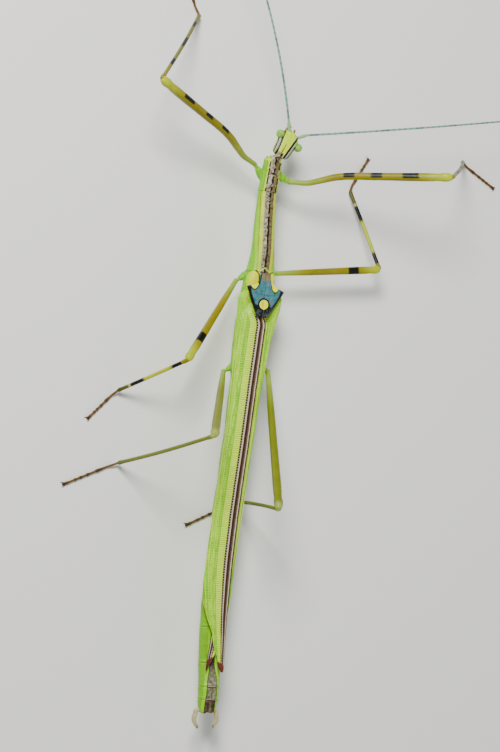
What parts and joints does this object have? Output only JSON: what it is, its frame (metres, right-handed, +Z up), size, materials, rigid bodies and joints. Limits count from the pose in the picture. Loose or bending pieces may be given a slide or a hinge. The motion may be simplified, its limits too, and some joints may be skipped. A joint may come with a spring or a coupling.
{
  "type": "stick insect",
  "caption": "Life-size winged stick insect standing with long banded legs spread, long feelers, blue shield-like fore wings and green folded wings along its back.",
  "frame": {"origin": "on the floor, under the middle of the whole animal's box, feelers and legs included", "axes": "+Z up from the floor through the back, +Y towards the head, +X towards the animal's right"},
  "size_m": [0.0832, 0.1304, 0.0212],
  "materials": {
    "head_cuticle": "yellow-green smooth cuticle with black and pink lines, satin",
    "eye": "pale green facetted compound eye, glossy",
    "mouthparts": "brown jaws and palps",
    "scape": "pale bluish white feeler base",
    "antenna": "teal grey feeler with darker joints",
    "thorax_cuticle": "lime green cuticle with a pinkish brown and black stripe along the back, fine pale granules",
    "abdomen_cuticle": "lime green cuticle, brown stripe near the tip",
    "wing": "lime and pale yellow leathery wing with fine ladder veins and a brown bundle of folds",
    "tegmen": "teal blue hard fore wing with black edges and yellow patches",
    "banded_leg": "orange yellow leg with black bands, satin",
    "hind_leg": "olive yellow leg with paler knee",
    "tarsus": "reddish brown jointed foot",
    "cercus": "beige hooked cercus"
  },
  "bodies": {
    "root": {"abdomen_segment_02": "abdomen_cuticle", "abdomen_segment_03": "abdomen_cuticle", "abdomen_segment_04": "abdomen_cuticle", "abdomen_segment_05": "abdomen_cuticle", "abdomen_segment_06": "abdomen_cuticle", "abdomen_segment_07": "abdomen_cuticle", "abdomen_segment_08": "abdomen_cuticle", "abdomen_segment_09": "abdomen_cuticle", "abdomen_segment_10": "abdomen_cuticle", "antenna_left_far": "antenna", "antenna_left_near": "antenna", "antenna_left_scape": "scape", "antenna_right_far": "antenna", "antenna_right_near": "antenna", "antenna_right_scape": "scape", "cercus_left": "cercus", "cercus_right": "cercus", "eye_left": "eye", "eye_right": "eye", "head": "head_cuticle", "leg_fore_left_coxa": "banded_leg", "leg_fore_left_femur": "banded_leg", "leg_fore_left_tarsus": "tarsus", "leg_fore_left_tibia": "banded_leg", "leg_fore_right_coxa": "banded_leg", "leg_fore_right_femur": "banded_leg", "leg_fore_right_tarsus": "tarsus", "leg_fore_right_tibia": "banded_leg", "leg_hind_left_coxa": "banded_leg", "leg_hind_left_femur": "hind_leg", "leg_hind_left_tarsus": "tarsus", "leg_hind_left_tibia": "hind_leg", "leg_hind_right_coxa": "banded_leg", "leg_hind_right_femur": "hind_leg", "leg_hind_right_tarsus": "tarsus", "leg_hind_right_tibia": "hind_leg", "leg_mid_left_coxa": "banded_leg", "leg_mid_left_femur": "banded_leg", "leg_mid_left_tarsus": "tarsus", "leg_mid_left_tibia": "banded_leg", "leg_mid_right_coxa": "banded_leg", "leg_mid_right_femur": "banded_leg", "leg_mid_right_tarsus": "tarsus", "leg_mid_right_tibia": "banded_leg", "mesothorax": "thorax_cuticle", "metathorax": "thorax_cuticle", "mouthparts": "mouthparts", "palp_left": "mouthparts", "palp_right": "mouthparts", "prothorax": "thorax_cuticle", "subgenital_plate": "abdomen_cuticle", "tegmen_left": "tegmen", "tegmen_right": "tegmen", "wing_left": "wing", "wing_right": "wing"}
  },
  "joints": []
}
